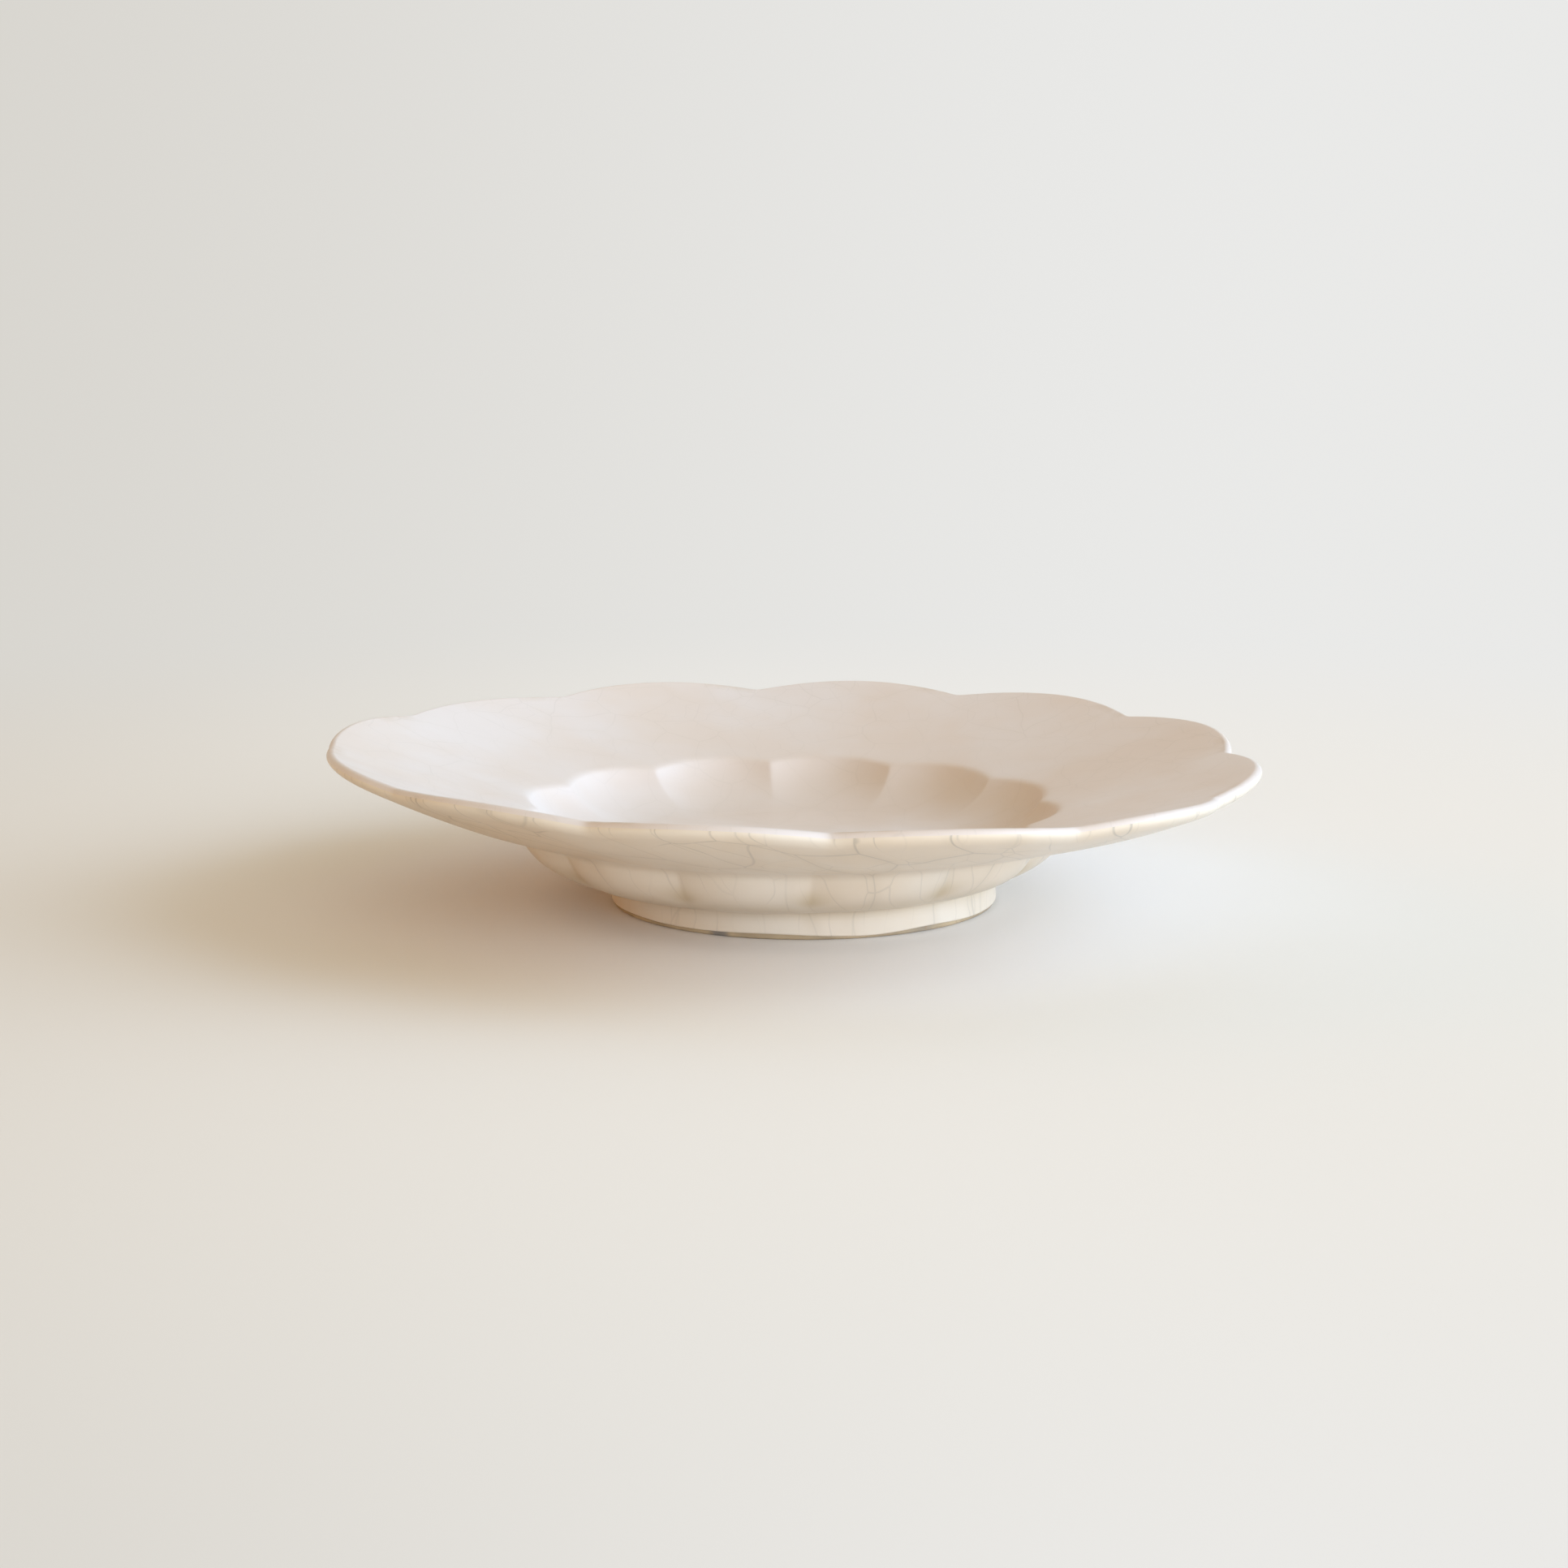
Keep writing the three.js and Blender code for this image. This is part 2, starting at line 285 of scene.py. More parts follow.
def rise_and_fall(value, start, full, fading, end):
    """0 up to the start, 1 from full to fading and 0 from the end on, with smooth steps between them."""
    return smoothstep(value, start, full) * (1 - smoothstep(value, fading, end))


def crowded_turns():
    """Turns round the plate, counted in scallops from a notch and closer together near the notches."""
    share = np.arange(STEPS_PER_SCALLOP) / STEPS_PER_SCALLOP
    share = share - NOTCH_CROWDING * np.sin(math.tau * share) / math.tau
    return (np.arange(SCALLOP_COUNT)[:, None] + share).ravel()


def chosen(values):
    """A number for each notch or scallop, 0 where none is given."""
    return np.array([values.get(count, 0) for count in range(SCALLOP_COUNT)])


def shifted_angles(turns):
    """The angles of these turns, with some notches a little out of place."""
    shifts = np.interp(turns, np.arange(SCALLOP_COUNT), chosen(NOTCH_SHIFTS), period=SCALLOP_COUNT)
    return turns * math.tau / SCALLOP_COUNT + shifts


TURNS = crowded_turns()
ANGLES = shifted_angles(TURNS)


def scallops():
    """1 at the middle of each scallop and 0 at each notch, with the notch's point softened."""
    wave = np.sin(math.pi * TURNS)
    softened = np.hypot(wave, NOTCH_SOFTNESS) - NOTCH_SOFTNESS
    highest = math.hypot(1, NOTCH_SOFTNESS) - NOTCH_SOFTNESS
    return (softened / highest) ** SCALLOP_FULLNESS


def rim_line():
    """Radius of the lip's clay, with the filled notches and the flat scallops."""
    fills = chosen(NOTCH_FILLS)[np.round(TURNS).astype(int) % SCALLOP_COUNT]
    flatness = chosen(SCALLOP_FLATNESS)[TURNS.astype(int)]
    outward = 1 - (1 - scallops()) * (1 - fills)
    return RIM_RADIUS - NOTCH_DEPTH * (1 - outward * (1 - flatness))


def rim_warp():
    """How far the lip stands above a level one: its twist, its saddle and the lifts of its notches."""
    lifts = chosen(NOTCH_LIFTS)
    notch = TURNS.astype(int)
    lift = between(lifts[notch], np.roll(lifts, -1)[notch], smoothstep(TURNS % 1, 0, 1))
    return RIM_TWIST * np.sin(2 * ANGLES) + RIM_SADDLE * np.cos(2 * ANGLES) + lift


def slope_height(r, inner_radius, start, rise, sag):
    """Height on a sloping side of the flange that sags a little between its two ends."""
    share = (r - inner_radius) / (RIM_RADIUS - inner_radius)
    return start + rise * share - 4 * sag * share * (1 - share)


def face_height(r):
    return slope_height(r, WELL_RADIUS, WELL_EDGE_HEIGHT, FLANGE_RISE, FLANGE_SAG)


def back_height(r):
    return slope_height(r, LEDGE_RADIUS, LEDGE_HEIGHT, BACK_RISE, BACK_SAG)


def steps(count):
    """Shares from 0 to 1 in a column, one row of a piece for each."""
    return np.linspace(0, 1, count + 1)[:, None]


def row(r, z):
    """One row of radius and height, each one number or a number for every angle."""
    return np.stack([r + 0 * ANGLES, z + 0 * ANGLES])[:, None]


def bend(start, corner, end, count):
    """Rows along a rounded corner, from the row after its start to its end."""
    share = steps(count)[1:]
    return between(between(start, corner, share), between(corner, end, share), share)


def wall_rows(bottom, top, start, end, height, radius):
    """Rows of a well wall, which climbs along part of an ellipse and rounds over into the flange."""
    rounding = radius / (2 * np.hypot(*(top - bottom)))
    turn = between(start, end, steps(WALL_STEPS) * (1 - rounding))
    outward = (np.sin(turn) - math.sin(start)) / (math.sin(end) - math.sin(start))
    upward = (math.cos(start) - np.cos(turn)) / (math.cos(start) - math.cos(end))
    wall = between(bottom, top, np.stack([outward, upward]))
    flange_start = top[0] + radius
    flange = np.stack([flange_start, height(flange_start)])
    return np.concatenate([wall, bend(wall[:, -1:], top, flange, EDGE_STEPS)], axis=1)


def flange_rows(start, lip, height):
    """Rows of one side of the flange from the rounding at the well to the lip, which it bends to meet."""
    share = steps(FLANGE_STEPS)[1:-1]
    r = between(start[0], lip[0], share)
    lift = lip[1] - height(lip[0])
    return np.stack([r, height(r) + lift * share**LIP_BEND_POWER])


def lip_rows(rim_radius):
    """The round of the lip, square to the flange, from its long rounding at the back to the face."""
    turn = math.pi / 2 * (2 * steps(2 * LIP_HALF_STEPS) - 1)
    outward = np.where(turn < 0, LIP_BACK_ROUNDING, LIP_RADIUS) * (np.cos(turn) - 1)
    across = LIP_RADIUS * np.sin(turn)
    slope = np.where(turn < 0, BACK_LIP_SLOPE, FACE_LIP_SLOPE)
    middle = (face_height(rim_radius) + back_height(rim_radius)) / 2
    r = rim_radius + outward * np.cos(slope) - across * np.sin(slope)
    return np.stack([r, middle + outward * np.sin(slope) + across * np.cos(slope)])


def floor_rows():
    """Rows of the dished floor inside its edge, ending in the middle."""
    share = 1 - steps(FLOOR_STEPS)[1:] + 0 * ANGLES
    return np.stack([FLOOR_RADIUS * share, FLOOR_HEIGHT - FLOOR_DISH * (1 - share**2)])


def clay_rows():
    """The clay's rows from the foot out to the lip and over its face to the axis, and the lip's row."""
    drawn_in = 1 - scallops()
    rim_radius = rim_line()
    ledge_radius = LEDGE_RADIUS - FLUTE_DEPTH * drawn_in
    well_radius = WELL_RADIUS - FLUTE_DEPTH * drawn_in
    seat = row(SEAT_RADIUS, BASE_HEIGHT)
    ledge = row(ledge_radius, back_height(ledge_radius))
    well_floor = row(FLOOR_RADIUS, FLOOR_HEIGHT)
    well_edge = row(well_radius, face_height(well_radius))
    lip = lip_rows(rim_radius)
    back_wall = wall_rows(seat, ledge, BACK_WALL_START, BACK_WALL_END, back_height, BACK_ROUNDING)
    face_wall = wall_rows(well_floor, well_edge, FACE_WALL_START, FACE_WALL_END, face_height, EDGE_ROUNDING)
    back = [
        row(FOOT_COAT_RADIUS, BASE_HEIGHT),
        back_wall,
        flange_rows(back_wall[:, -1], lip[:, 0], back_height),
        lip[:, : LIP_HALF_STEPS + 1],
    ]
    face = [
        lip[:, LIP_HALF_STEPS + 1 :],
        flange_rows(face_wall[:, -1], lip[:, -1], face_height)[:, ::-1],
        face_wall[:, ::-1],
        floor_rows(),
    ]
    lip_row = sum(part.shape[1] for part in back) - 1
    return np.concatenate(back + face, axis=1), lip_row


def place(rows, offsets):
    """Points in space for rows of radius and height, with the lip's lean and warp fading out to the foot."""
    r, z = rows
    lean = RIM_LEAN * r * np.cos(ANGLES) / RIM_RADIUS
    height = z + smoothstep(r, SEAT_RADIUS, RIM_RADIUS) * (rim_warp() - lean)
    x = offsets[:, None] + r * np.cos(ANGLES)
    return np.stack([x, r * np.sin(ANGLES), height], axis=-1)


def unevenness(points, length):
    """A slow wave over points in space, from -1 to 1."""
    values = [noise.noise(Vector(point) / length) for point in points.reshape(-1, 3)]
    return np.array(values).reshape(points.shape[:-1])


def coat_rows(clay, offsets):
    """The outside of the glaze over the clay, square to it and a little uneven."""
    along = np.gradient(clay, axis=1)
    # The first row faces straight down, and the one in the middle of the floor straight up
    along[1, 0] = 0
    along[0, -1] = -1
    along[1, -1] = 0
    square = np.stack([along[1], -along[0]]) / np.hypot(*along)
    wave = unevenness(place(clay, offsets), COAT_WAVE_LENGTH)
    wave[0] = 0
    wave[-1] = wave[-1].mean()
    return clay + square * (GLAZE_THICKNESS + COAT_UNEVENNESS * wave)


def bare_edge():
    """Height round the foot at which its glaze stops."""
    circle = np.stack([np.cos(ANGLES), np.sin(ANGLES), 0 * ANGLES], axis=-1) * FOOT_RADIUS
    return BARE_EDGE_HEIGHT + BARE_EDGE_WAVER * unevenness(circle, COAT_WAVE_LENGTH)


def foot_soot():
    """How far the fire has blackened the foot round its edge, from 0 to 1."""
    soot = 0 * ANGLES
    for turn, half_width, darkness in SOOT_MARKS:
        away = np.abs((np.degrees(ANGLES) - turn + 180) % 360 - 180)
        soot = np.maximum(soot, darkness * (1 - smoothstep(away, SOOT_CORE * half_width, half_width)))
    return soot


def lip_wear_and_shade(rows, lip_row):
    """Painted shade and dulled glaze on the lip, from 1 on its crest just past a notch to 0 away from it."""
    lengths = np.hypot(*np.diff(rows, axis=1))
    travelled = np.concatenate([0 * lengths[:1], np.cumsum(lengths, axis=0)])
    from_crest = (travelled - travelled[lip_row + LIP_HALF_STEPS - 1]) / WEAR_AND_SHADE_WIDTH
    amount = np.where(np.isin(TURNS.astype(int), WORN_AND_SHADED_NOTCHES), 1, OTHER_WEAR_AND_SHADE)
    return np.exp(-(from_crest**2)) * rise_and_fall(TURNS % 1, *WEAR_AND_SHADE_STRETCH) * amount


def pool_and_shade(rows):
    """How deep glaze has pooled in the grooves on the back, up to 1, and painted shade, less deep, round the
    foot; 0 elsewhere.
    """
    rise = (rows[1] - BASE_HEIGHT) / (LEDGE_HEIGHT - BASE_HEIGHT)
    in_grooves = (1 - scallops()) ** 2 * rise_and_fall(rise, *GROOVE_POOL)
    # The band round the foot is painted shade
    return np.maximum(in_grooves, FOOT_SHADE_DEPTH * rise_and_fall(rise, *FOOT_SHADE))


def link(name, data):
    """A new object with this mesh or lens, in the scene."""
    thing = bpy.data.objects.new(name, data)
    bpy.context.scene.collection.objects.link(thing)
    return thing


def drop_loose_points(mesh):
    """Deletes the points on the axis that share their place with another and have no face."""
    shape = bmesh.new()
    shape.from_mesh(mesh)
    loose = [vertex for vertex in shape.verts if not vertex.link_faces]
    bmesh.ops.delete(shape, geom=loose, context="VERTS")
    shape.to_mesh(mesh)
    shape.free()


def sweep(name, rows, offsets, marks=None):
    """A closed piece swept round the axis, whose rows run out along its bottom and back along its top."""
    points = place(rows, offsets)
    row_count, angle_count = points.shape[:2]
    at_axis = rows[0].max(axis=1) < AXIS_TOLERANCE
    index = np.arange(row_count * angle_count).reshape(row_count, angle_count)
    index[at_axis] = index[at_axis, :1]
    after = np.roll(index, -1, axis=0)
    quads = np.stack([index, np.roll(index, -1, axis=1), np.roll(after, -1, axis=1), after], axis=-1)
    quads = quads[~(at_axis & np.roll(at_axis, -1))].reshape(-1, 4)
    faces = [list(dict.fromkeys(quad)) for quad in quads.tolist()]
    mesh = bpy.data.meshes.new(name)
    mesh.from_pydata(points.reshape(-1, 3).tolist(), [], faces)
    for mark, values in (marks or {}).items():
        layer = mesh.attributes.new(mark, "FLOAT", "POINT")
        layer.data.foreach_set("value", values.astype(np.float32).ravel())
    drop_loose_points(mesh)
    mesh.shade_smooth()
    mesh.set_sharp_from_angle(angle=SHARP_ANGLE)
    return link(name, mesh)


CLAY, LIP_ROW = clay_rows()
CLAY_OFFSETS = np.where(np.arange(CLAY.shape[1]) == 0, FOOT_OFFSET, 0)
COAT = coat_rows(CLAY, CLAY_OFFSETS)
WEAR_AND_SHADE = lip_wear_and_shade(COAT, LIP_ROW)
BARE_EDGE = bare_edge()


def plate_body():
    """The clay under the glaze, flange and well in one."""
    rows = np.concatenate([row(0, BASE_HEIGHT), CLAY], axis=1)
    return sweep("plate_clay", rows, np.concatenate([[FOOT_OFFSET], CLAY_OFFSETS]))


def face_glaze():
    """Glaze on the eating side, out to the middle of the lip."""
    clay = CLAY[:, : LIP_ROW - 1 : -1]
    wear_and_shade = np.concatenate([np.zeros(clay.shape[1:]), WEAR_AND_SHADE[LIP_ROW:]])
    rows = np.concatenate([clay, COAT[:, LIP_ROW:]], axis=1)
    return sweep("glaze_face", rows, np.zeros(rows.shape[1]), {"wear_and_shade": wear_and_shade})


def back_glaze():
    """Glaze under the flange and the well, run into a fillet against the foot."""
    gap = SEAT_RADIUS - FOOT_COAT_RADIUS - FOOT_OFFSET * np.cos(ANGLES)
    reach = np.minimum(GLAZE_FILLET, FILLET_SHARE * gap)
    start = row(FOOT_COAT_RADIUS, UNDERSIDE_HEIGHT - reach)
    corner = row(FOOT_COAT_RADIUS, UNDERSIDE_HEIGHT)
    end = row(FOOT_COAT_RADIUS + reach, UNDERSIDE_HEIGHT)
    fillet = np.concatenate([start, bend(start, corner, end, FOOT_STEPS)], axis=1)
    clay = CLAY[:, LIP_ROW::-1]
    rows = np.concatenate([fillet, COAT[:, 1 : LIP_ROW + 1], clay], axis=1)
    offsets = np.zeros(rows.shape[1])
    offsets[: fillet.shape[1]] = FOOT_OFFSET
    offsets[-1] = FOOT_OFFSET
    wear_and_shade = np.concatenate([np.zeros(fillet.shape[1:]), WEAR_AND_SHADE[1 : LIP_ROW + 1], np.zeros(clay.shape[1:])])
    # Marks pooled glaze in the grooves and painted shade round the foot
    return sweep("glaze_back", rows, offsets, {"wear_and_shade": wear_and_shade, "pool_and_shade": pool_and_shade(rows)})


def foot_ring():
    """Turned foot, with the edges that it stands on rounded."""
    inner = FOOT_INNER_RADIUS + FOOT_EDGE_ROUNDING
    outer = FOOT_RADIUS - FOOT_EDGE_ROUNDING
    inner_side = row(FOOT_INNER_RADIUS, FOOT_EDGE_ROUNDING)
    parts = [
        row(FOOT_INNER_RADIUS, FOOT_TOP),
        inner_side,
        bend(inner_side, row(FOOT_INNER_RADIUS, 0), row(inner, 0), FOOT_STEPS),
        row(outer, 0),
        bend(row(outer, 0), row(FOOT_RADIUS, 0), row(FOOT_RADIUS, FOOT_EDGE_ROUNDING), FOOT_STEPS),
        row(FOOT_RADIUS, FOOT_TOP),
    ]
    rows = np.concatenate(parts, axis=1)
    soot = np.broadcast_to(foot_soot(), rows.shape[1:])
    return sweep("foot_clay", rows, np.full(rows.shape[1], FOOT_OFFSET), {"soot": soot})


def foot_glaze():
    """Glaze on the outside of the foot, with a rolled and wavering lower edge."""
    edge = row(FOOT_RADIUS, BARE_EDGE)
    roll = row(FOOT_COAT_RADIUS, BARE_EDGE + GLAZE_THICKNESS)
    side = between(roll, row(FOOT_COAT_RADIUS, BASE_HEIGHT), steps(FOOT_STEPS)[1:])
    parts = [
        edge,
        bend(edge, row(FOOT_COAT_RADIUS, BARE_EDGE), roll, FOOT_STEPS),
        side,
        row(FOOT_RADIUS, BASE_HEIGHT),
    ]
    rows = np.concatenate(parts, axis=1)
    # The foot's glaze takes the painted shade at its top, where the wall meets it
    return sweep("glaze_foot", rows, np.full(rows.shape[1], FOOT_OFFSET), {"pool_and_shade": pool_and_shade(rows)})


def base_glaze():
    """Glaze on the base inside the foot, over the rings of turning, and on the foot's inner wall."""
    fillet_start = BASE_COAT_RADIUS - GLAZE_FILLET
    r = fillet_start * steps(BASE_STEPS) + 0 * ANGLES
    ripple = TURNING_RIPPLE * np.sin(math.tau * r / TURNING_PITCH)
    disc = np.stack([r, UNDERSIDE_HEIGHT + ripple])
    wall_top = row(BASE_COAT_RADIUS, UNDERSIDE_HEIGHT - GLAZE_FILLET)
    roll = row(BASE_COAT_RADIUS, BARE_EDGE + GLAZE_THICKNESS)
    edge = row(FOOT_INNER_RADIUS, BARE_EDGE)
    parts = [
        disc,
        bend(disc[:, -1:], row(BASE_COAT_RADIUS, UNDERSIDE_HEIGHT), wall_top, FOOT_STEPS),
        roll,
        bend(roll, row(BASE_COAT_RADIUS, BARE_EDGE), edge, FOOT_STEPS),
        row(FOOT_INNER_RADIUS, BASE_HEIGHT),
        row(0, BASE_HEIGHT),
    ]
    rows = np.concatenate(parts, axis=1)
    return sweep("glaze_base", rows, np.full(rows.shape[1], FOOT_OFFSET))


def feed(tree, socket, value):
    """Gives a socket a number, a colour or another node's output."""
    if isinstance(value, bpy.types.NodeSocket):
        tree.links.new(value, socket)
    elif socket.type == "RGBA":
        socket.default_value = (*value, 1)
    else:
        socket.default_value = value


def add(tree, kind, inputs=None, **settings):
    """Adds a shader node with these inputs and settings."""
    node = tree.nodes.new("ShaderNode" + kind)
    for name, value in settings.items():
        setattr(node, name, value)
    for socket, value in (inputs or {}).items():
        feed(tree, node.inputs[socket], value)
    return node


def calc(tree, operation, *values):
    return add(tree, "Math", dict(enumerate(values)), operation=operation).outputs[0]


def ramp(tree, value, low, high, at_low=0.0, at_high=1.0):
    """A smooth step from one number to another as the value goes from low to high."""
    inputs = {"Value": value, "From Min": low, "From Max": high, "To Min": at_low, "To Max": at_high}
    return add(tree, "MapRange", inputs, interpolation_type="SMOOTHSTEP").outputs["Result"]


def mix(tree, share, first, second, blend="MIX"):
    """Two colours mixed by a share, through the node's sockets for colours."""
    inputs = {0: share, 6: first, 7: second}
    return add(tree, "Mix", inputs, data_type="RGBA", blend_type=blend).outputs[2]


def vector(tree, operation, *values):
    return add(tree, "VectorMath", dict(enumerate(values)), operation=operation).outputs[0]


def vector_length(tree, value):
    return add(tree, "VectorMath", {0: value}, operation="LENGTH").outputs["Value"]


def scaled(tree, value, scale):
    return add(tree, "VectorMath", {0: value, "Scale": scale}, operation="SCALE").outputs[0]


def point_mark(tree, name):
    """The numbers that a piece's mesh has at its points under this name, 0 where it has none."""
    return add(tree, "Attribute", attribute_name=name).outputs["Fac"]


def blotches(tree, where, size, detail):
    """Soft noise round 0.5 with features of this size."""
    return add(tree, "TexNoise", {"Vector": where, "Scale": 1 / size, "Detail": detail}).outputs["Fac"]


def patches(tree, where, size, low, high, at_low, at_high, detail):
    """Patches of this size, in which a number goes up as the noise goes from low to high."""
    return ramp(tree, blotches(tree, where, size, detail), low, high, at_low, at_high)


def warped(tree, where, size, amount):
    """Places shifted about by noise of this size, which lies round 0.5, so that straight edges bend."""
    stir = add(tree, "TexNoise", {"Vector": where, "Scale": 1 / size, "Detail": 1.0}).outputs["Color"]
    shift = vector(tree, "SUBTRACT", stir, (0.5, 0.5, 0.5))
    return vector(tree, "ADD", where, vector(tree, "MULTIPLY", shift, (amount, amount, amount)))


def outward_places(tree, where):
    """Places in which cells run long from the foot out to the lip, and lean to one side."""
    radius = vector_length(tree, vector(tree, "MULTIPLY", where, (1, 1, 0)))
    turn = calc(tree, "MULTIPLY", radius, CRACK_LEAN)
    leaning = add(tree, "VectorRotate", {"Vector": where, "Angle": turn}, rotation_type="Z_AXIS").outputs[0]
    drawn_out = calc(tree, "DIVIDE", CRACK_STRETCH * SEAT_RADIUS, radius)
    return scaled(tree, leaning, calc(tree, "ADD", 1 - CRACK_STRETCH, drawn_out))


def cracks(tree, where, cell, width):
    """1 along a net of cracks that go straight down, with cells of this size, and 0 between them."""
    settings = {"feature": "DISTANCE_TO_EDGE", "voronoi_dimensions": "2D"}
    net = add(tree, "TexVoronoi", {"Vector": where, "Scale": 1 / cell}, **settings)
    return ramp(tree, net.outputs["Distance"], 0.0, width / cell, 1.0, 0.0)


def sand_grains(tree, where):
    """1 in a grain of sand in some of the cells, and 0 elsewhere."""
    grains = add(tree, "TexVoronoi", {"Vector": where, "Scale": 1 / GRAIN_CELL})
    edge = GRAIN_RADIUS / GRAIN_CELL
    inside = ramp(tree, grains.outputs["Distance"], GRAIN_CORE * edge, edge, 1.0, 0.0)
    return calc(tree, "MULTIPLY", inside, ramp(tree, grains.outputs["Color"], *GRAIN_CHOICE))


def new_material(name):
    """A material with its tree, its Principled shader and the places on its piece."""
    material = bpy.data.materials.new(name)
    material.use_nodes = True
    tree = material.node_tree
    return material, tree, tree.nodes["Principled BSDF"], add(tree, "TexCoord").outputs["Object"]


def roughen(tree, surface, height, depth, strength):
    """Gives a surface bumps that follow a height from 0 to 1, with this depth and strength."""
    bump = add(tree, "Bump", {"Height": height, "Distance": depth, "Strength": strength})
    feed(tree, surface.inputs["Normal"], bump.outputs["Normal"])


def crackle(tree, where, places):
    """How far stain has soaked in along the long cracks, and how dark all the cracks are, from 0 to 1."""
    long_places = warped(tree, places, *LONG_CRACK_BENDS)
    short_places = warped(tree, places, *SHORT_CRACK_BENDS)
    soaked = cracks(tree, long_places, LONG_CRACK_CELL, STAIN_WIDTH)
    long_net = cracks(tree, long_places, LONG_CRACK_CELL, LONG_CRACK_WIDTH)
    short_net = cracks(tree, short_places, SHORT_CRACK_CELL, SHORT_CRACK_WIDTH)
    stain = calc(tree, "MULTIPLY", soaked, patches(tree, where, *STAIN_PATCHES))
    long_lines = calc(tree, "MULTIPLY", long_net, patches(tree, where, *LONG_CRACK_PATCHES))
    short_lines = calc(tree, "MULTIPLY", short_net, patches(tree, where, *SHORT_CRACK_PATCHES))
    height = add(tree, "SeparateXYZ", {0: where}).outputs["Z"]
    strength = ramp(tree, height, LEDGE_HEIGHT, RIM_HEIGHT, LOW_CRACK_SHARE, 1.0)
    lines = calc(tree, "MULTIPLY", calc(tree, "MAXIMUM", long_lines, short_lines), strength)
    return stain, lines


def glaze(name, colour, crack_strength, outward):
    """Glossy cream glass, crackled and stained, browner where pooled and with painted shade at foot and lip.
    """
    material, tree, surface, where = new_material(name)
    places = outward_places(tree, where) if outward else where
    stain, lines = crackle(tree, where, places)
    pooled_and_shaded = calc(tree, "MULTIPLY", point_mark(tree, "pool_and_shade"), POOL_AND_SHADE_STRENGTH)
    worn_and_shaded = calc(tree, "MULTIPLY", point_mark(tree, "wear_and_shade"), patches(tree, where, *WEAR_AND_SHADE_PATCHES))
    warm_colour = tuple(part * share for part, share in zip(colour, WARM_SHARE))

    body = mix(tree, patches(tree, where, *TONE_PATCHES), colour, warm_colour)
    body = mix(tree, calc(tree, "MULTIPLY", stain, crack_strength), body, STAIN_COLOUR)
    body = mix(tree, calc(tree, "MULTIPLY", lines, crack_strength), body, CRACK_COLOUR)
    # Pooled glaze in the grooves, and painted shade round the foot
    body = mix(tree, pooled_and_shaded, body, POOL_AND_SHADE_COLOUR)
    # Painted shade on the lip just past its notches
    body = mix(tree, calc(tree, "MULTIPLY", worn_and_shaded, LIP_SHADE_STRENGTH), body, LIP_SHADE_COLOUR)
    feed(tree, surface.inputs["Base Color"], body)

    dulled = calc(tree, "MULTIPLY", worn_and_shaded, WEAR_ROUGHNESS)
    roughness = calc(tree, "ADD", patches(tree, where, *GLOSS_PATCHES), dulled)
    feed(tree, surface.inputs["Roughness"], roughness)
    size, detail, depth, strength = PEEL
    roughen(tree, surface, blotches(tree, where, size, detail), depth, strength)
    return material


def bare_clay(name, colour):
    """Dry fired clay with sand in it, darkened in patches and by soot."""
    material, tree, surface, where = new_material(name)
    paleness = patches(tree, where, *CLAY_PATCHES)
    grains = sand_grains(tree, where)
    dark_colour = tuple(DARK_CLAY_SHARE * part for part in colour)
    body = mix(tree, paleness, dark_colour, colour)
    body = mix(tree, point_mark(tree, "soot"), body, SOOT_COLOUR)
    body = mix(tree, calc(tree, "MULTIPLY", grains, GRAIN_STRENGTH), body, SPECK_COLOUR)
    feed(tree, surface.inputs["Base Color"], body)
    feed(tree, surface.inputs["Roughness"], ramp(tree, paleness, 0.0, 1.0, *CLAY_ROUGHNESS))
    size, detail, depth, strength = GRIT
    height = calc(tree, "ADD", blotches(tree, where, size, detail), grains)
    roughen(tree, surface, height, depth, strength)
    return material


def backdrop_colour(tree, direction):
    """The backdrop's colour in a direction, painted darker on the left than on the right as shade."""
    across = add(tree, "SeparateXYZ", {0: vector(tree, "NORMALIZE", direction)}).outputs["X"]
    return mix(tree, ramp(tree, across, -BACKDROP_SPREAD, BACKDROP_SPREAD), BACKDROP_LEFT, BACKDROP_RIGHT)


def seen_directly(tree):
    """1 for rays from the camera, from gloss or through glass, and 0 for light on matte surfaces."""
    path = add(tree, "LightPath").outputs
    seen = calc(tree, "MAXIMUM", path["Is Camera Ray"], path["Is Glossy Ray"])
    return calc(tree, "MAXIMUM", seen, path["Is Transmission Ray"])


def floor_glow(tree, where):
    """The backdrop's colour behind a place on the floor, as the photograph's camera sees it."""
    standpoint = (CAMERA_DISTANCE * math.sin(CAMERA_TURN), -CAMERA_DISTANCE * math.cos(CAMERA_TURN), 0)
    backdrop = backdrop_colour(tree, vector(tree, "SUBTRACT", where, standpoint))
    return add(tree, "Emission", {"Color": backdrop, "Strength": 1.0}).outputs[0]


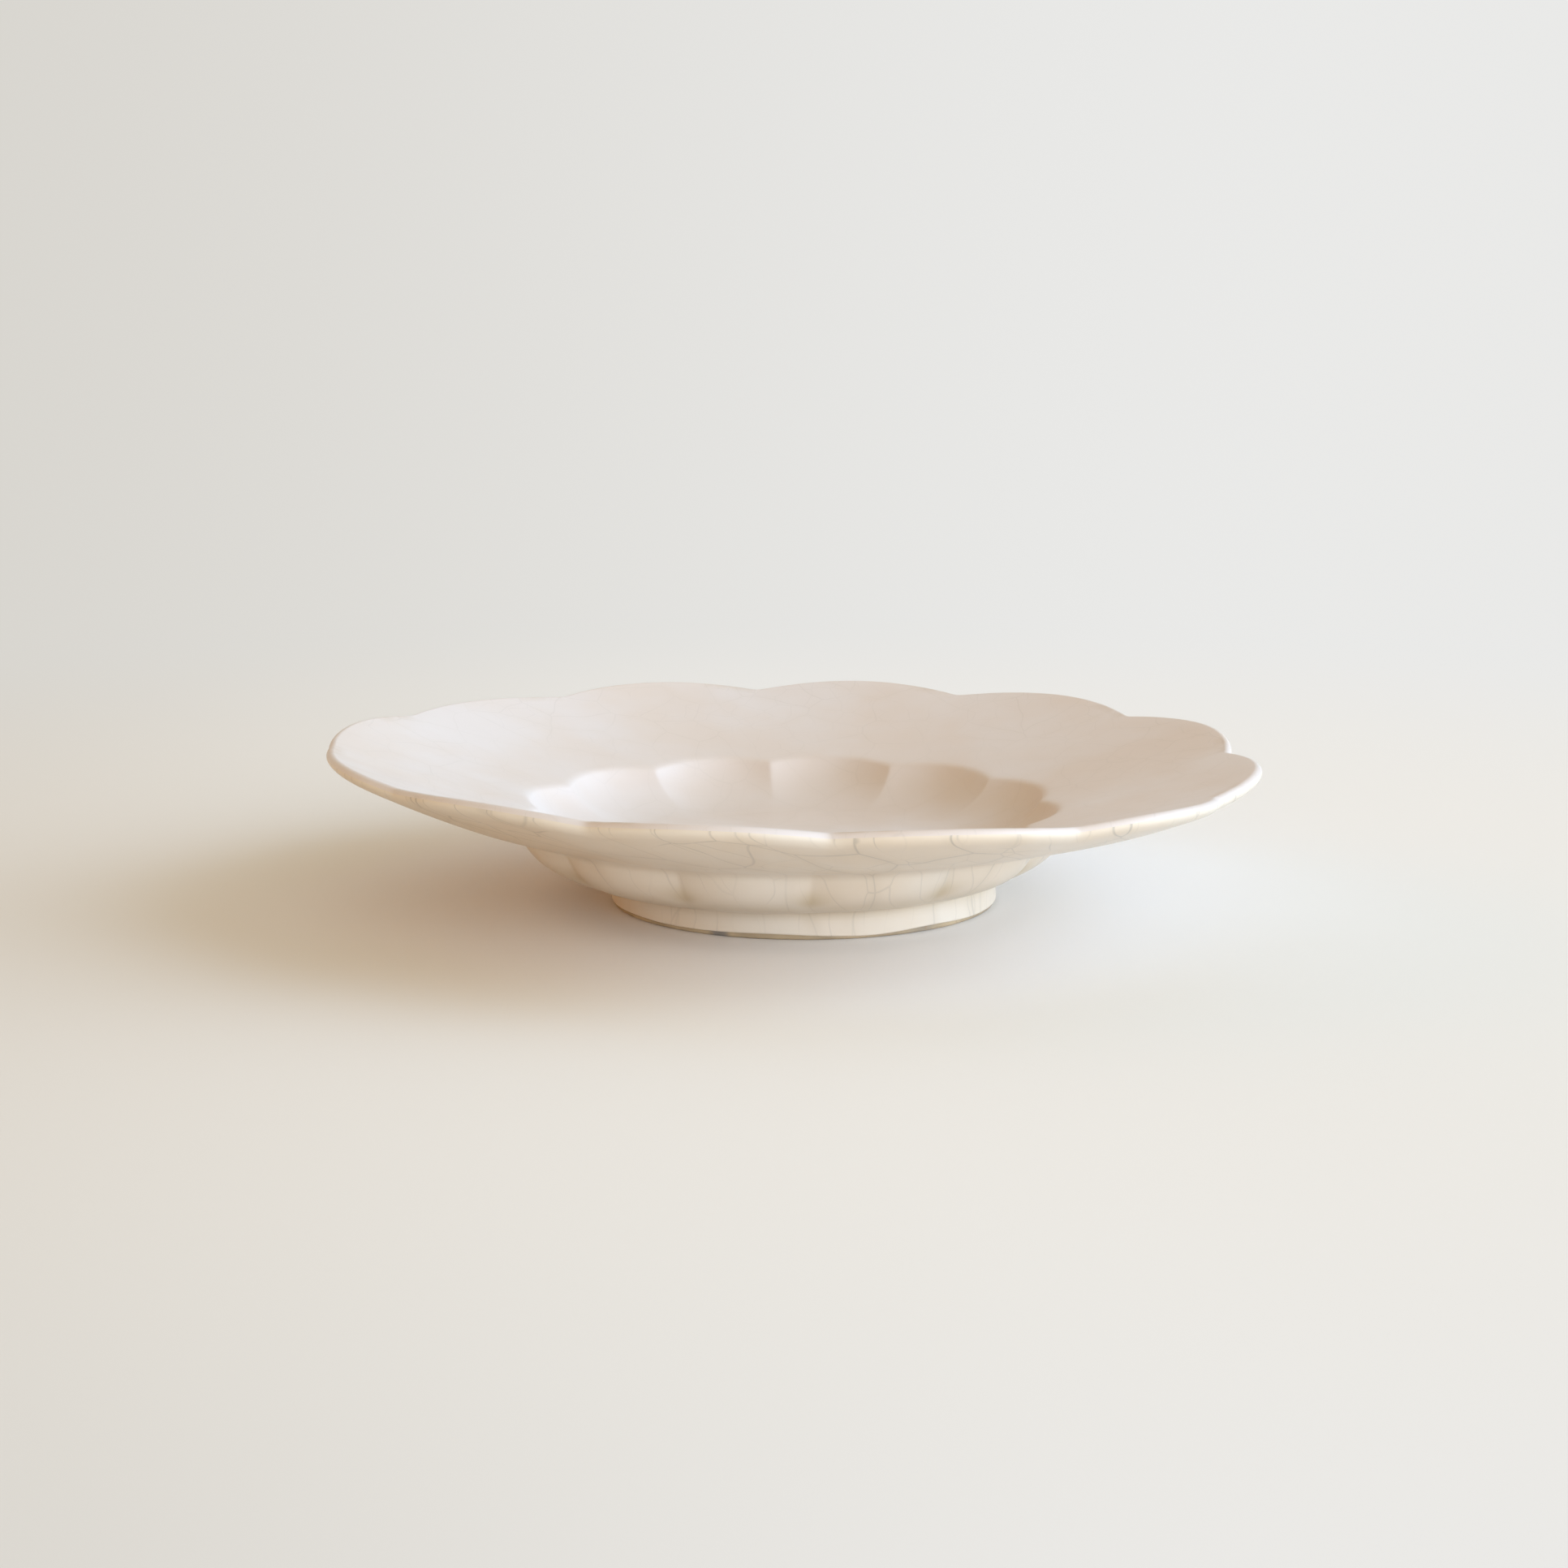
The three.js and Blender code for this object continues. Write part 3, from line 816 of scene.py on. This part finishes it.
def floor_material():
    """Pale matte paper, painted darker on the left as shade, fading into the backdrop's colour far from the
    plate, and clear from below.
    """
    material, tree, surface, where = new_material("floor_paper")
    across = add(tree, "SeparateXYZ", {0: where}).outputs["X"]
    # Painted shade: darker and warmer paper on the left
    body = mix(tree, ramp(tree, across, *FLOOR_SPREAD), FLOOR_LEFT, FLOOR_RIGHT)
    feed(tree, surface.inputs["Base Color"], body)
    feed(tree, surface.inputs["Roughness"], PAPER_ROUGHNESS)
    size, detail, depth, strength = PAPER_GRAIN
    roughen(tree, surface, blotches(tree, where, size, detail), depth, strength)

    far = ramp(tree, vector_length(tree, where), FADE_START, FADE_END)
    share = calc(tree, "MULTIPLY", far, seen_directly(tree))
    above = add(tree, "MixShader", {0: share, 1: surface.outputs[0], 2: floor_glow(tree, where)})
    below = add(tree, "NewGeometry").outputs["Backfacing"]
    clear = add(tree, "BsdfTransparent")
    both = add(tree, "MixShader", {0: below, 1: above.outputs[0], 2: clear.outputs[0]})
    feed(tree, tree.nodes["Material Output"].inputs["Surface"], both.outputs[0])
    return material


def add_floor():
    """A wide level floor, open under the foot so that light reaches the base in views from below."""
    angles = np.arange(FLOOR_SIDES) * math.tau / FLOOR_SIDES
    ring = np.stack([np.cos(angles), np.sin(angles), 0 * angles], axis=-1)
    points = np.concatenate([FLOOR_HOLE * ring + (FOOT_OFFSET, 0, 0), FLOOR_REACH * ring])
    inner = np.arange(FLOOR_SIDES)
    after = np.roll(inner, -1)
    faces = np.stack([inner, inner + FLOOR_SIDES, after + FLOOR_SIDES, after], axis=-1)
    mesh = bpy.data.meshes.new("floor")
    mesh.from_pydata(points.tolist(), [], faces.tolist())
    mesh.materials.append(floor_material())
    floor = link("floor", mesh)


def towards(turn, elevation):
    """The direction at a turn from +X and an elevation, both in degrees."""
    turn, elevation = math.radians(turn), math.radians(elevation)
    level = math.cos(elevation)
    return level * math.cos(turn), level * math.sin(turn), math.sin(elevation)


def room_light(tree, direction):
    """The colour of the light that comes from a direction: the room's and that of each window."""
    light = ROOM_COLOUR
    for turn, elevation, half_width, colour in WINDOWS:
        ends = {0: direction, 1: towards(turn, elevation)}
        nearness = add(tree, "VectorMath", ends, operation="DOT_PRODUCT").outputs["Value"]
        share = ramp(tree, nearness, math.cos(math.radians(half_width)), 1.0)
        light = mix(tree, share, light, colour, "ADD")
    return light


def add_world():
    """Light from the windows and the room, with the pale backdrop in view."""
    world = bpy.data.worlds.new("room")
    bpy.context.scene.world = world
    world.use_nodes = True
    tree = world.node_tree
    tree.nodes.clear()
    direction = add(tree, "TexCoord").outputs["Generated"]
    light = room_light(tree, direction)
    backdrop = backdrop_colour(tree, direction)
    path = add(tree, "LightPath").outputs
    mirror = calc(tree, "MAXIMUM", path["Is Glossy Ray"], path["Is Transmission Ray"])
    glare = mix(tree, 1.0, scaled(tree, light, GLARE), backdrop, "LIGHTEN")
    shown = mix(tree, path["Is Camera Ray"], mix(tree, mirror, light, glare), backdrop)
    sky = add(tree, "Background", {"Color": shown, "Strength": 1.0})
    output = add(tree, "OutputWorld")
    feed(tree, output.inputs["Surface"], sky.outputs[0])


def add_camera():
    """The photograph's camera."""
    lens = bpy.data.cameras.new("camera")
    lens.sensor_width = SENSOR_WIDTH
    lens.lens = SENSOR_WIDTH * FOCAL_SHARE
    lens.clip_start = NEAREST_VIEW
    camera = link("camera", lens)
    turn = Matrix.Rotation(CAMERA_TURN, 3, "Z")
    away = Vector((0, -math.cos(CAMERA_ELEVATION), math.sin(CAMERA_ELEVATION)))
    tilt = CAMERA_ELEVATION + CAMERA_PITCH
    level = math.cos(tilt)
    ahead = Vector((math.sin(CAMERA_YAW) * level, math.cos(CAMERA_YAW) * level, -math.sin(tilt)))
    camera.location = Vector((0, 0, NOTCH_PLANE_HEIGHT)) + turn @ away * CAMERA_DISTANCE
    camera.rotation_euler = (turn @ ahead).to_track_quat("-Z", "Y").to_euler()
    bpy.context.scene.camera = camera


def add_plate():
    """Fine pieces in place of the solids. The hidden slip keeps its shape and takes on the look of clay."""
    clay = bare_clay("clay", CLAY_COLOUR)
    pieces = [
        ("plate_body", plate_body(), clay),
        ("foot_ring", foot_ring(), bare_clay("sooty_clay", FOOT_COLOUR)),
        ("face_glaze", face_glaze(), glaze("face_glass", FACE_COLOUR, FACE_CRACKS, False)),
        ("back_glaze", back_glaze(), glaze("back_glass", BACK_COLOUR, BACK_CRACKS, True)),
        ("foot_glaze", foot_glaze(), glaze("foot_glass", BACK_COLOUR, BACK_CRACKS, True)),
        ("base_glaze", base_glaze(), glaze("base_glass", BACK_COLOUR, BASE_CRACKS, False)),
    ]
    for node, piece, material in pieces:
        piece.data.materials.append(material)
        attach(piece, "root")
        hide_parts(node)
    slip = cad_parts["luting_slip"]
    for slot in slip.material_slots:
        slot.material = clay


bpy.context.scene.view_settings.view_transform = "Standard"
add_camera()
add_floor()
add_world()
add_plate()
